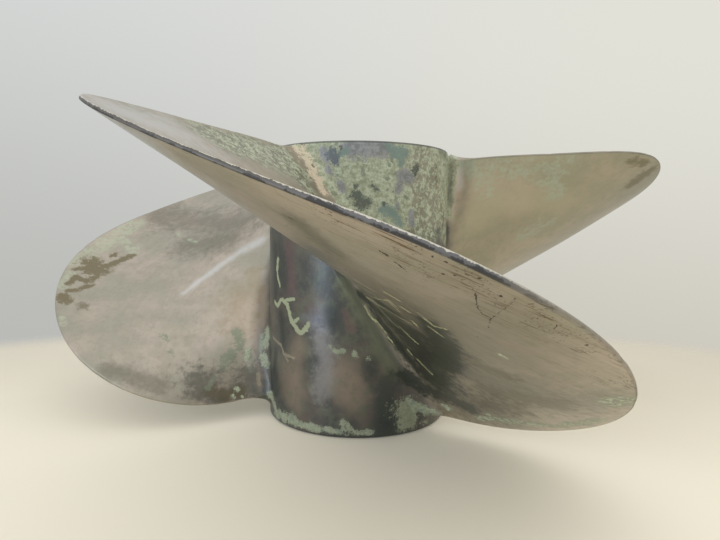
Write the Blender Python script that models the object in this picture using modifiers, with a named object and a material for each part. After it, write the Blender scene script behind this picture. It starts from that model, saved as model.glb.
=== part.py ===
"""A three-bladed, left-handed boat propeller: one light alloy casting round a rubber bush and a splined sleeve.

Metres, +Z up. The shaft axis is Z and the origin lies on it, half way along the hub.
The forward end of the hub is down, so that the propeller stands on it.
"""
import math

import bmesh
import bpy
import numpy as np
from mathutils import Matrix, Vector

# Hub barrel
HUB_RADIUS = 0.049
HUB_LENGTH = 0.144
BARREL_WALL = 0.006
RIM_ROUND = 0.0015
TURNED_STEPS = 72

# Inner boss and its webs
BOSS_RADIUS = 0.0305
BOSS_FORWARD_RECESS = 0.012
BOSS_LENGTH = 0.104
BUSH_SEAT_RADIUS = 0.0245
EDGE_CHAMFER = 0.001
WEB_COUNT = 3
WEB_THICKNESS = 0.007
WEB_INSET = 0.006
WEB_TURN = math.radians(-90)
WEB_SINK = 0.002

# Bush and sleeve
FIT_GAP = 0.0003
BUSH_LENGTH = 0.086
SLEEVE_RADIUS = 0.0172
SLEEVE_LENGTH = 0.1
SPLINE_BORE_RADIUS = 0.0122
SPLINE_DEPTH = 0.0016
SPLINE_COUNT = 13
SPLINE_GROOVE_WIDTH = 0.003
CUT_MARGIN = 0.002

# Blades
BLADE_COUNT = 3
BLADE_TURN = math.radians(-80.7)
BLADE_HEIGHT = 0.069
TIP_RADIUS = 0.1904
TIP_ARC = -0.0358
ROOT_LEADING_ARC = 0.057
ROOT_TRAILING_ARC = -0.0832
LEADING_BULGE = (0.1327, 0.1425)
LEADING_SHOULDER = (0.1978, 0.084)
TRAILING_BULGE = (0.1432, -0.1077)
TRAILING_SHOULDER = (0.1805, -0.1957)
PITCH_ROOT = 0.5557
PITCH_MIDDLE = 0.546
PITCH_TIP = 0.4824
RAKE_AT_TIP = 0.0266
RAKE_NEAR_ROOT = 0.0107
RAKE_NEAR_TIP = -0.0035
CAMBER_ROOT = -0.0094
CAMBER_TIP = -0.0024
CAMBER_REACH = 0.098
ROOT_THICKNESS = 0.011
TIP_THICKNESS = 0.0034
EDGE_THICKNESS = 0.002
UNDER_SHARE = 0.3
FILLET_WIDTH = 0.007
FILLET_REACH = 0.018
FILLET_START = 0.0005
LEADING_FLARE = 1.6
TRAILING_FLARE = 0.4
ROOT_SINK = 0.0032
THICKNESS_FADE = 0.8
CHORD_STEPS = 10
NOSE_STEPS = 6
FILLET_STEPS = 5
FILLET_SHARE = 0.027
FILLET_CROWDING = 1.5
SPAN_STEPS = 17
TIP_CUT = 0.025
SLOPE_STEP = 0.0001

# Roundings of the turned pieces
ROUND_STEPS = 3
MERGE_DISTANCE = 0.00001

FORWARD_FACE = -HUB_LENGTH / 2
AFT_FACE = HUB_LENGTH / 2
BOSS_LOW = FORWARD_FACE + BOSS_FORWARD_RECESS
BOSS_HIGH = BOSS_LOW + BOSS_LENGTH
BOSS_MIDDLE = (BOSS_LOW + BOSS_HIGH) / 2


def clear_scene():
    for obj in list(bpy.data.objects):
        bpy.data.objects.remove(obj, do_unlink=True)


def new_collection(name):
    collection = bpy.data.collections.new(name)
    bpy.context.scene.collection.children.link(collection)
    return collection


def new_material(name, colour, roughness, metallic):
    material = bpy.data.materials.new(name)
    material.use_nodes = True
    shader = material.node_tree.nodes["Principled BSDF"]
    shader.inputs["Base Color"].default_value = (*colour, 1)
    shader.inputs["Roughness"].default_value = roughness
    shader.inputs["Metallic"].default_value = metallic
    return material


def new_object(name, mesh, collection, material=None):
    obj = bpy.data.objects.new(name, mesh)
    collection.objects.link(obj)
    if material:
        mesh.materials.append(material)
    return obj


def as_helper(obj):
    obj.hide_render = True
    obj.display_type = "WIRE"
    return obj


def turned(name, profile, collection, material=None):
    """A closed profile of (radius, height) points, which runs down its outer side, turned about Z."""
    mesh = bpy.data.meshes.new(name)
    points = [(radius, 0, height) for radius, height in profile]
    mesh.from_pydata(points, [(i, (i + 1) % len(points)) for i in range(len(points))], [])
    obj = new_object(name, mesh, collection, material)
    screw = obj.modifiers.new("turn", "SCREW")
    screw.steps = TURNED_STEPS
    screw.render_steps = TURNED_STEPS
    screw.use_merge_vertices = True
    screw.merge_threshold = MERGE_DISTANCE
    return obj


def tube_profile(outer, inner, low, high, outer_round, inner_round):
    """A tube's section, with every corner cut or rounded by its own size."""
    profile = corner(outer, high, -1, -1, outer_round)
    profile += corner(outer, low, -1, 1, outer_round)[::-1]
    profile += corner(inner, low, 1, 1, inner_round)
    profile += corner(inner, high, 1, -1, inner_round)[::-1]
    return profile


def corner(radius, height, inward, along, size):
    """From the end face to the side face of one corner: a small chamfer, or an arc if it is a rounded rim."""
    steps = ROUND_STEPS if size > EDGE_CHAMFER else 1
    angles = [math.pi / 2 * i / steps for i in range(steps + 1)]
    return [
        (radius + inward * size * (1 - math.sin(a)), height + along * size * (1 - math.cos(a)))
        for a in angles
    ]


def join(base, other):
    union = base.modifiers.new("join_" + other.name, "BOOLEAN")
    union.operation = "UNION"
    union.solver = "EXACT"
    union.object = other


def cut(base, cutter):
    difference = base.modifiers.new("cut_" + cutter.name, "BOOLEAN")
    difference.operation = "DIFFERENCE"
    difference.solver = "EXACT"
    difference.object = cutter


def smooth(obj):
    obj.data.shade_smooth()
    obj.data.set_sharp_from_angle(angle=math.radians(35))


def bezier(points, along):
    """The cubic Bezier curve through four control points, each a row, at the shares along it."""
    a, b, c, d = np.asarray(points, float)
    t = np.asarray(along, float)[:, None]
    return (1 - t) ** 3 * a + 3 * (1 - t) ** 2 * t * b + 3 * (1 - t) * t**2 * c + t**3 * d


def blade_edges(along):
    """Radius and helix arc of the leading and trailing edges, from the root to the tip."""
    tip = (TIP_RADIUS, TIP_ARC)
    leading = bezier([(HUB_RADIUS, ROOT_LEADING_ARC), LEADING_BULGE, LEADING_SHOULDER, tip], along)
    trailing = bezier([(HUB_RADIUS, ROOT_TRAILING_ARC), TRAILING_BULGE, TRAILING_SHOULDER, tip], along)
    return leading, trailing


def helix_rise(share):
    """Rise for each radian of turn, from the parabola through the three pitches."""
    middle = 4 * PITCH_MIDDLE - 3 * PITCH_ROOT - PITCH_TIP
    bend = 2 * (PITCH_ROOT + PITCH_TIP - 2 * PITCH_MIDDLE)
    return (PITCH_ROOT + middle * share + bend * share**2) / math.tau


def blade_surface(radius, arc):
    """A point within the blade, close above its underside, from its radius and its arc along the helix."""
    share = (radius - HUB_RADIUS) / (TIP_RADIUS - HUB_RADIUS)
    rise = helix_rise(share)
    turn = arc / np.sqrt(radius**2 + rise**2)
    rake = 3 * (1 - share) ** 2 * share * RAKE_NEAR_ROOT
    rake = rake + 3 * (1 - share) * share**2 * RAKE_NEAR_TIP + share**3 * RAKE_AT_TIP
    camber = (CAMBER_ROOT * (1 - share) + CAMBER_TIP * share) * (1 - (arc / CAMBER_REACH) ** 2)
    height = FORWARD_FACE + BLADE_HEIGHT + rake + camber - rise * turn
    angle = BLADE_TURN + turn
    return np.stack([radius * np.cos(angle), radius * np.sin(angle), height], -1)


def surface_normal(radius, arc):
    """The upward normal of the blade's surface, from the cross product of its two slopes."""
    here = blade_surface(radius, arc)
    outward = blade_surface(radius + SLOPE_STEP, arc) - here
    around = blade_surface(radius, arc + SLOPE_STEP) - here
    normal = np.cross(outward, around)
    return normal / np.linalg.norm(normal, axis=-1, keepdims=True)


def fillet_growth(radius):
    """How far the skin stands out near the hub: a quarter ellipse, which starts tangent to the hub."""
    share = np.clip((radius - HUB_RADIUS + FILLET_START) / FILLET_REACH, 0, 1)
    return FILLET_WIDTH * (1 - np.sqrt(1 - (1 - share) ** 2))


def blade_ring(leading, trailing, inward=0.0):
    """One closed section: across the upper face, round the leading edge, back below, round the trailing edge."""
    x = np.linspace(-1, 1, CHORD_STEPS + 1)
    nose = np.linspace(math.pi / 2, -math.pi / 2, NOSE_STEPS + 1)[1:-1]
    across = np.concatenate([x, np.ones(nose.size), x[::-1], -np.ones(nose.size)])
    share = (across + 1) / 2
    radius = trailing[0] + (leading[0] - trailing[0]) * share
    arc = trailing[1] + (leading[1] - trailing[1]) * share
    span = (radius - HUB_RADIUS) / (TIP_RADIUS - HUB_RADIUS)
    full = ROOT_THICKNESS + (TIP_THICKNESS - ROOT_THICKNESS) * span**THICKNESS_FADE
    growth = fillet_growth(radius)
    lift = np.concatenate([np.ones(x.size), np.sin(nose), -np.ones(x.size), -np.sin(nose)])
    reach = np.concatenate([np.zeros(x.size), np.cos(nose), np.zeros(x.size), -np.cos(nose)])
    flare = np.where(reach > 0, LEADING_FLARE, TRAILING_FLARE)
    crown = np.where(lift == 1, (full - EDGE_THICKNESS) * (1 - across**2), 0)
    arc = arc + reach * (EDGE_THICKNESS / 2 + growth * flare)
    rise = EDGE_THICKNESS * ((1 + lift) / 2 - UNDER_SHARE) + growth * lift + crown
    points = blade_surface(radius, arc) + surface_normal(radius, arc) * rise[:, None]
    points[:, :2] *= 1 - inward / HUB_RADIUS
    return points


def blade_object(name, collection):
    """The blade as a loft of closed sections, from inside the barrel's wall out to a short flat at the tip."""
    in_fillet = FILLET_SHARE * np.linspace(0, 1, FILLET_STEPS + 1) ** FILLET_CROWDING
    beyond = np.linspace(FILLET_SHARE, 1 - TIP_CUT, SPAN_STEPS + 1)[1:]
    leading, trailing = blade_edges(np.concatenate([in_fillet, beyond]))
    rings = [blade_ring(leading[0], trailing[0], inward=ROOT_SINK)]
    rings += [blade_ring(a, b) for a, b in zip(leading, trailing)]
    build = bmesh.new()
    rows = [[build.verts.new(point) for point in ring] for ring in rings]
    count = len(rows[0])
    for inner, outer in zip(rows, rows[1:]):
        for i in range(count):
            j = (i + 1) % count
            build.faces.new((inner[i], outer[i], outer[j], inner[j]))
    build.faces.new(rows[0])
    build.faces.new(rows[-1][::-1])
    bmesh.ops.recalc_face_normals(build, faces=build.faces)
    bmesh.ops.triangulate(build, faces=build.faces)
    mesh = bpy.data.meshes.new(name)
    build.to_mesh(mesh)
    build.free()
    return as_helper(new_object(name, mesh, collection))


def box_mesh(name, low, high, turns=(0.0,)):
    """One box between two corners, repeated at each turn about Z."""
    build = bmesh.new()
    for turn in turns:
        size = Vector(high) - Vector(low)
        centre = (Vector(high) + Vector(low)) / 2
        place = Matrix.Rotation(turn, 4, "Z") @ Matrix.Translation(centre) @ Matrix.Diagonal((*size, 1))
        bmesh.ops.create_cube(build, size=1, matrix=place)
    mesh = bpy.data.meshes.new(name)
    build.to_mesh(mesh)
    build.free()
    return mesh


def make_casting(parts, helpers, material):
    """Barrel, inner boss, webs and blades, which were poured as one piece."""
    inner = HUB_RADIUS - BARREL_WALL
    barrel = tube_profile(HUB_RADIUS, inner, FORWARD_FACE, AFT_FACE, RIM_ROUND, EDGE_CHAMFER)
    casting = turned("propeller_casting", barrel, parts, material)
    boss = tube_profile(BOSS_RADIUS, BUSH_SEAT_RADIUS, BOSS_LOW, BOSS_HIGH, EDGE_CHAMFER, EDGE_CHAMFER)
    join(casting, as_helper(turned("boss", boss, helpers)))
    low = (BOSS_RADIUS - WEB_SINK, -WEB_THICKNESS / 2, BOSS_LOW + WEB_INSET)
    high = (inner + WEB_SINK, WEB_THICKNESS / 2, BOSS_HIGH - WEB_INSET)
    turns = [WEB_TURN + math.tau * i / WEB_COUNT for i in range(WEB_COUNT)]
    join(casting, as_helper(new_object("webs", box_mesh("webs", low, high, turns), helpers)))
    for i in range(BLADE_COUNT):
        blade = blade_object(f"blade_{i + 1}", helpers)
        blade.rotation_euler.z = math.tau * i / BLADE_COUNT
        join(casting, blade)
    smooth(casting)


def make_bush(parts, material):
    """The rubber ring between the boss and the sleeve, which drives the propeller and gives at a blow."""
    outer = BUSH_SEAT_RADIUS - FIT_GAP
    inner = SLEEVE_RADIUS + FIT_GAP
    low = BOSS_MIDDLE - BUSH_LENGTH / 2
    high = BOSS_MIDDLE + BUSH_LENGTH / 2
    ring = tube_profile(outer, inner, low, high, EDGE_CHAMFER, EDGE_CHAMFER)
    smooth(turned("rubber_bush", ring, parts, material))


def make_sleeve(parts, helpers, material):
    """The bronze sleeve on the shaft, with straight splines cut into its bore."""
    low = BOSS_MIDDLE - SLEEVE_LENGTH / 2
    high = BOSS_MIDDLE + SLEEVE_LENGTH / 2
    tube =tube_profile(SLEEVE_RADIUS, SPLINE_BORE_RADIUS, low, high, EDGE_CHAMFER, EDGE_CHAMFER / 2)
    sleeve = turned("splined_sleeve", tube, parts, material)
    turns = [math.tau * (i + 0.5) / SPLINE_COUNT for i in range(SPLINE_COUNT)]
    start = (SPLINE_BORE_RADIUS - SPLINE_DEPTH, -SPLINE_GROOVE_WIDTH / 2, low - CUT_MARGIN)
    end = (SPLINE_BORE_RADIUS + SPLINE_DEPTH, SPLINE_GROOVE_WIDTH / 2, high + CUT_MARGIN)
    cutter = new_object("spline_grooves", box_mesh("spline_grooves", start, end, turns), helpers)
    cut(sleeve, as_helper(cutter))
    smooth(sleeve)


def main():
    clear_scene()
    parts = new_collection("boat_propeller")
    helpers = new_collection("helpers")
    helpers.hide_render = True
    alloy = new_material("cast_alloy", (0.42, 0.41, 0.36), 0.45, 0.7)
    rubber = new_material("black_rubber", (0.03, 0.03, 0.03), 0.8, 0.0)
    bronze = new_material("sleeve_bronze", (0.5, 0.34, 0.16), 0.4, 0.9)
    make_casting(parts, helpers, alloy)
    make_bush(parts, rubber)
    make_sleeve(parts, helpers, bronze)


main()
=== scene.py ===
"""The looks of a worn three-bladed boat propeller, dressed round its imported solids.

Metres, +Z up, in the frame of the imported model: the shaft's axis is Z, and the origin lies half way along
the hub. After the camera, the sections follow the propeller as it is put together.
"""

import math

import bmesh
import bpy
import numpy as np
from mathutils import Matrix, Vector


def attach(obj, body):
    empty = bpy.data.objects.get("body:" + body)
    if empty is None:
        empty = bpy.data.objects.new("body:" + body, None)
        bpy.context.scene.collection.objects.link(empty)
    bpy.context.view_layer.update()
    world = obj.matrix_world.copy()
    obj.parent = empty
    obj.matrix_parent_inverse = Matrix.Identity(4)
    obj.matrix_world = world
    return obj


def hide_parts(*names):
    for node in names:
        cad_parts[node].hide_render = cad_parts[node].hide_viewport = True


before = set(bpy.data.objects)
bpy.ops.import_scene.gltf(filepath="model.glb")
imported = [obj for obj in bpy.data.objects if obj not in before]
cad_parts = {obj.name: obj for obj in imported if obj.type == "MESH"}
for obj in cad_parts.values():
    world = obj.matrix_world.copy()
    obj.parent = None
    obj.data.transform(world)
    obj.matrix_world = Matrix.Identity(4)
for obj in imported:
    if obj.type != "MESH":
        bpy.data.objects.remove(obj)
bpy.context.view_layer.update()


# The camera
# It stands close in front of the hub, a little above the hub's middle, and looks slightly down, as the
# photograph was taken: the near blade reaches half way to the lens, so the view is a wide one.
picture_width = 720
picture_height = 540
focal_length_in_pixels = 561.5
eye = Vector((0, -0.3161, 0.0321))
looks_down = math.radians(4.54)
looks_right = math.radians(0.23)
leans = math.radians(0.52)

ahead = Vector((
    math.sin(looks_right) * math.cos(looks_down), math.cos(looks_right) * math.cos(looks_down),
    -math.sin(looks_down)))
level_right = ahead.cross(Vector((0, 0, 1))).normalized()
level_up = level_right.cross(ahead)
picture_right = math.cos(leans) * level_right + math.sin(leans) * level_up
picture_up = math.cos(leans) * level_up - math.sin(leans) * level_right

lens = bpy.data.cameras.new("camera")
lens.lens = lens.sensor_width * focal_length_in_pixels / picture_width
lens.clip_start = 0.01
camera = bpy.data.objects.new("camera", lens)
bpy.context.scene.collection.objects.link(camera)
turned = Matrix((picture_right, picture_up, -ahead)).transposed()
camera.matrix_world = Matrix.Translation(eye) @ turned.to_4x4()
bpy.context.scene.camera = camera


def line_of_sight(x, y):
    """The direction in which the eye sees a pixel: ahead, plus its offset from the picture's middle."""
    across = (x - picture_width / 2) / focal_length_in_pixels
    down = (y - picture_height / 2) / focal_length_in_pixels
    return (ahead + across * picture_right - down * picture_up).normalized()


# The casting: barrel and blades
# One piece of light alloy, poured in a sand mould: a plain barrel and three blades, which grow out of it
# with wide fillets and end in a blunt edge about 2 mm thick. The forward end is down.
hub_radius = 0.049
hub_length = 0.144
barrel_wall = 0.006
rim_round = 0.0015
bore_chamfer = 0.001
forward_face = -hub_length / 2
aft_face = hub_length / 2

blade_count = 3
third = math.tau / blade_count
blade_turn = math.radians(-80.7)
blade_height = 0.069
tip_radius = 0.1904
tip_arc = -0.0358
leading_outline = [(hub_radius, 0.057), (0.1327, 0.1425), (0.1978, 0.084), (tip_radius, tip_arc)]
trailing_outline = [(hub_radius, -0.0832), (0.1432, -0.1077), (0.1805, -0.1957), (tip_radius, tip_arc)]
pitch_root = 0.5557
pitch_middle = 0.546
pitch_tip = 0.4824
rake_at_tip = 0.0266
rake_near_root = 0.0107
rake_near_tip = -0.0035
camber_root = -0.0094
camber_tip = -0.0024
camber_reach = 0.098
root_thickness = 0.011
tip_thickness = 0.0034
thinning_power = 0.8
edge_thickness = 0.0019
edge_at_trailing_tip = 0.0012
thin_edge_arcs = (-0.09, -0.02)
edge_squareness = 0.5
edge_inset = 0.0008
thickening_width = 0.05
under_share = 0.3
fillet_width = 0.007
fillet_reach = 0.018
fillet_start = 0.0005
leading_flare = 1.6
trailing_flare = 0.8
upright_root = 0.02
fillet_ceiling_gap = 0.0008
fillet_ceiling = aft_face - rim_round - fillet_ceiling_gap

seam_columns = 23
seam_shift = 0.25
rim_columns = 30
side_columns = 50
face_columns = 73
even_share = 0.6
nose_columns = 4
barrel_rows = 24
fillet_rows = 12
fillet_share = 0.0717
blade_rows = 132
bore_rows = 14
rim_rows = 5
outline_steps = 2000
weld_distance = 0.000002
seed = 11
dents_on_an_edge = 16
dent_places = (0.15, 1.0)
dent_widths = (0.004, 0.009)
dent_depths = (0, 0.00018)
swell_height = 0.00012


def bezier(points, along):
    """A cubic Bezier curve: its four points weighed by (1-t)^3, 3(1-t)^2 t, 3(1-t)t^2 and t^3."""
    t = along[:, None]
    return np.hstack([(1 - t) ** 3, 3 * (1 - t) ** 2 * t, 3 * (1 - t) * t**2, t**3]) @ np.array(points)


def smooth_step(low, high, value):
    """From 0 at low to 1 at high, as 3s^2 - 2s^3."""
    share = np.clip((value - low) / (high - low), 0, 1)
    return share * share * (3 - 2 * share)


def distance_to_path(points, path):
    """Each point's distance to the nearest place on a path of straight stretches."""
    nearest = np.full(len(points), np.inf)
    for start, end in zip(path, path[1:]):
        stretch = end - start
        share = np.clip((points - start) @ stretch / max(stretch @ stretch, 1e-12), 0, 1)
        nearest = np.minimum(nearest, np.linalg.norm(points - start - share[:, None] * stretch, axis=1))
    return nearest


def mean_surface(radius, arc):
    """Angle and height of the blade's mean surface, from the radius and the arc along the helix. The height
    falls with the angle by the local pitch, a parabola through its three values, and adds the rake's cubic
    Bezier and the camber's parabola."""
    share = (radius - hub_radius) / (tip_radius - hub_radius)
    middle = 4 * pitch_middle - 3 * pitch_root - pitch_tip
    bend = 2 * (pitch_root + pitch_tip - 2 * pitch_middle)
    fall = (pitch_root + middle * share + bend * share**2) / math.tau
    turn = arc / np.hypot(radius, fall)
    rake = 3 * (1 - share) ** 2 * share * rake_near_root
    rake = rake + 3 * (1 - share) * share**2 * rake_near_tip + share**3 * rake_at_tip
    camber = (camber_root * (1 - share) + camber_tip * share) * (1 - (arc / camber_reach) ** 2)
    return blade_turn + turn, forward_face + blade_height + rake + camber - fall * turn


def upward_normal(radius, arc):
    """The mean surface's normal, outward, around and up the shaft: the cross product of its two slopes."""
    step = 0.0001
    angle, height = mean_surface(radius, arc)
    angle_out, height_out = mean_surface(radius + step, arc)
    angle_on, height_on = mean_surface(radius, arc + step)
    around_out = radius * (angle_out - angle)
    around_on = radius * (angle_on - angle)
    normal = np.stack([
        around_out * (height_on - height) - (height_out - height) * around_on,
        step * (height - height_on),
        step * around_on,
    ])
    return normal / np.linalg.norm(normal, axis=0)


def section_columns():
    """Once round a blade's section from its trailing edge: place across the blade from -1 to 1, lift from
    the lower face's -1 to the upper face's 1, and reach beyond the outline, both along a squarish round."""
    face = np.linspace(-1, 1, face_columns)
    across = even_share * face + (1 - even_share) * np.sin(face * math.pi / 2)
    rising = np.linspace(-math.pi / 2, math.pi / 2, 2 * nose_columns + 1)[1:-1]
    nose = np.concatenate([rising[nose_columns - 1:], rising[::-1], rising[:nose_columns - 1]])
    place = np.concatenate([
        -np.ones(nose_columns), across, np.ones(2 * nose_columns - 1), across[::-1],
        -np.ones(nose_columns - 1)])
    on_nose = np.concatenate([
        np.full(nose_columns, True), np.full(face_columns, False), np.full(2 * nose_columns - 1, True),
        np.full(face_columns, False), np.full(nose_columns - 1, True)])
    on_lower = np.arange(place.size) > nose_columns + face_columns + nose_columns
    lift = np.where(on_lower, -1.0, 1.0)
    reach = np.zeros(place.size)
    lift[on_nose] = np.sign(np.sin(nose)) * np.abs(np.sin(nose)) ** edge_squareness
    reach[on_nose] = np.cos(nose) ** edge_squareness
    return place, lift, reach


def blade_rows_along():
    """How far along the outline each row lies: by 1 - cos in the fillet, then in even steps of the edge."""
    in_fillet = fillet_share * (1 - np.cos(np.linspace(0, math.pi / 2, fillet_rows + 1)))
    fine = np.linspace(fillet_share, 1, outline_steps)
    steps = [np.linalg.norm(np.diff(bezier(edge, fine), axis=0), axis=1)
             for edge in (leading_outline, trailing_outline)]
    length = np.concatenate([[0], np.cumsum(sum(steps))])
    beyond = np.interp(np.linspace(0, length[-1], blade_rows + 1)[1:], length, fine)
    return np.concatenate([in_fillet, beyond])


def dented_edge(outline, side, along, dice):
    """An edge's points on the outline's Bezier curve and its outward directions, as radius and arc. The
    points lie inward by the inset, which makes room for the round, and by faint dents like bell curves."""
    edge = bezier(outline, along)
    slope = np.gradient(edge, along, axis=0)
    outward = side * np.stack([-slope[:, 1], slope[:, 0]], -1)
    outward[:, 0] *= smooth_step(hub_radius, hub_radius + upright_root, edge[:, 0])
    outward /= np.linalg.norm(outward, axis=1, keepdims=True)
    place = dice.uniform(*dent_places, dents_on_an_edge)
    width = dice.uniform(*dent_widths, dents_on_an_edge)
    depth = dice.uniform(*dent_depths, dents_on_an_edge)
    dents = (depth * np.exp(-(((along[:, None] - place) / width) ** 2))).sum(1)
    return edge - outward * (edge_inset + dents)[:, None], outward


def cast_swell(radius, arc, dice):
    """How high the sand mould's unevenness stands on the skin: sines of the radius and of the arc, over
    lengths of 11 to 40 mm and from drawn phases."""
    phase = dice.uniform(0, math.tau, 4)
    short = np.sin(radius / 0.011 + phase[0]) * np.sin(arc / 0.015 + phase[1])
    slanted = np.sin(radius / 0.023 + arc / 0.019 + phase[2])
    slanted += 0.6 * np.sin(arc / 0.031 - radius / 0.04 + phase[3])
    return swell_height * (short + slanted)


def blade_skin(along, dice):
    """Radius, angle and height of a blade's skin on a grid, with each point's radius and arc, its distance
    inside the outline and its lift. The skin is the mean surface, raised along its normal by the lift of a
    blunt edge, by the fillet's quarter ellipse at the root, by the upper face's thickening away from the
    edge and by the swell. Beside the barrel's rim, a ceiling keeps the fillet below it."""
    place, lift, reach = section_columns()
    leading, leading_out = dented_edge(leading_outline, 1, along, dice)
    trailing, trailing_out = dented_edge(trailing_outline, -1, along, dice)
    share = ((place + 1) / 2)[None, :, None]
    base = trailing[:, None] * (1 - share) + leading[:, None] * share
    outward = np.where(place[None, :, None] > 0, leading_out[:, None], trailing_out[:, None])
    near_root = np.clip((base[..., 0] - hub_radius + fillet_start) / fillet_reach, 0, 1)
    growth = fillet_width * (1 - np.sqrt(1 - (1 - near_root) ** 2))
    flare = np.where(place > 0, leading_flare, trailing_flare)
    blunt = smooth_step(*thin_edge_arcs, base[..., 1])
    edge = edge_at_trailing_tip + (edge_thickness - edge_at_trailing_tip) * blunt
    size = (edge / 2 + growth * flare) * reach
    outline = np.vstack([trailing, leading[::-1]])
    inside = distance_to_path(base.reshape(-1, 2), outline[::2]).reshape(size.shape)
    radius = base[..., 0] + outward[..., 0] * size
    arc = base[..., 1] + outward[..., 1] * size

    span = (radius - hub_radius) / (tip_radius - hub_radius)
    full = root_thickness + (tip_thickness - root_thickness) * np.clip(span, 0, 1) ** thinning_power
    thicker = 1 - (1 - np.clip(inside / thickening_width, 0, 1)) ** 2
    crown = np.where((lift == 1) & (reach == 0), (full - edge) * thicker, 0)
    free = smooth_step(hub_radius, hub_radius + upright_root, radius)
    swell = cast_swell(radius, arc, dice) * free
    rise = edge * ((1 + lift) / 2 - under_share) + growth * lift + crown + swell
    normal = upward_normal(radius, arc)
    angle, height = mean_surface(radius, arc)
    height = height + normal[2] * rise
    ceiling = np.where(radius < hub_radius + fillet_reach, fillet_ceiling + radius - hub_radius, np.inf)
    skin = [radius + free * normal[0] * rise, angle + normal[1] * rise / radius]
    skin = np.stack([*skin, np.minimum(height, ceiling)], -1)
    return skin, radius, arc, inside - size, np.broadcast_to(lift, size.shape)


def barrel_skin(root):
    """Radius, angle and height of a third of the barrel's outside: straight lines on the unrolled barrel,
    from a slanted outline half way to the next blades, to the blade's root. The outline's columns go along
    the upper rim, down one side, along the lower rim and up the other side."""
    half_rim = rim_columns / 2
    stops = np.cumsum([0, half_rim, side_columns, rim_columns, side_columns, half_rim])
    column = np.arange(root.shape[0])
    aside = np.interp(column, stops, [0, 1, 1, -1, -1, 0])
    down = np.interp(column, stops, [0, 0, 1, 1, 0, 0])
    rim_step = third / rim_columns
    middle = blade_turn - (seam_columns / 2 + seam_shift) * rim_step
    angle = middle + aside * third / 2 + down * seam_columns * rim_step
    height = (aft_face - rim_round) * (1 - down) + (forward_face + rim_round) * down
    seam = np.stack([np.full(column.size, hub_radius), angle, height], -1)
    share = np.linspace(0, 1, barrel_rows + 1)[:-1, None, None]
    return seam * (1 - share) + root * share, angle[0]


def grid_faces(rows, columns, closed):
    """The four-sided faces of a grid of points. A closed grid joins its last column to its first."""
    row = np.arange(rows - 1)[:, None] * columns
    column = np.arange(columns if closed else columns - 1)[None, :]
    beside = (column + 1) % columns
    corners = [row + column, row + beside, row + columns + beside, row + columns + column]
    return np.stack(corners, -1).reshape(-1, 4)


def upright(skin):
    """Points of radius, angle and height as x, y and z."""
    radius, angle, height = np.moveaxis(skin, -1, 0)
    return np.stack([radius * np.cos(angle), radius * np.sin(angle), height], -1)


def quarter_round(radius, height, inward, along, size, steps):
    """From an end face to a side face over one corner, as radius and height: they move by the size times
    1 - sin and 1 - cos of a quarter turn. A chamfer is a round of one step."""
    turn = np.linspace(0, math.pi / 2, steps + 1)
    aside = size * (1 - np.sin(turn))
    on = size * (1 - np.cos(turn))
    return np.stack([radius + inward * aside, height + along * on], -1)


def turned_skin(profile, angles):
    """A profile of radius and height, turned about the shaft's axis to each angle."""
    rows = np.repeat(profile[:, None], len(angles), axis=1)
    return np.stack([rows[..., 0], np.broadcast_to(angles, rows.shape[:2]), rows[..., 1]], -1)


def closed_piece(name, grids, values=None):
    """One object from grids of points: (points, closed) each. Points that meet are merged, and faces turned
    out. values holds arrays of numbers or vectors for all points, which the mesh keeps as attributes."""
    points = np.concatenate([grid.reshape(-1, 3) for grid, _ in grids])
    faces = []
    start = 0
    for grid, closed in grids:
        faces.append(grid_faces(*grid.shape[:2], closed) + start)
        start += grid.shape[0] * grid.shape[1]
    mesh = bpy.data.meshes.new(name)
    mesh.from_pydata(points, [], np.concatenate(faces).tolist())
    for key, value in (values or {}).items():
        kind, data = ("FLOAT", "value") if value.ndim == 1 else ("FLOAT_VECTOR", "vector")
        attribute = mesh.attributes.new(key, kind, "POINT")
        attribute.data.foreach_set(data, value.astype(np.float32).ravel())
    build = bmesh.new()
    build.from_mesh(mesh)
    bmesh.ops.remove_doubles(build, verts=build.verts, dist=weld_distance)
    bmesh.ops.recalc_face_normals(build, faces=build.faces)
    build.to_mesh(mesh)
    build.free()
    mesh.shade_smooth()
    piece = bpy.data.objects.new(name, mesh)
    bpy.context.scene.collection.objects.link(piece)
    return piece


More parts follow.
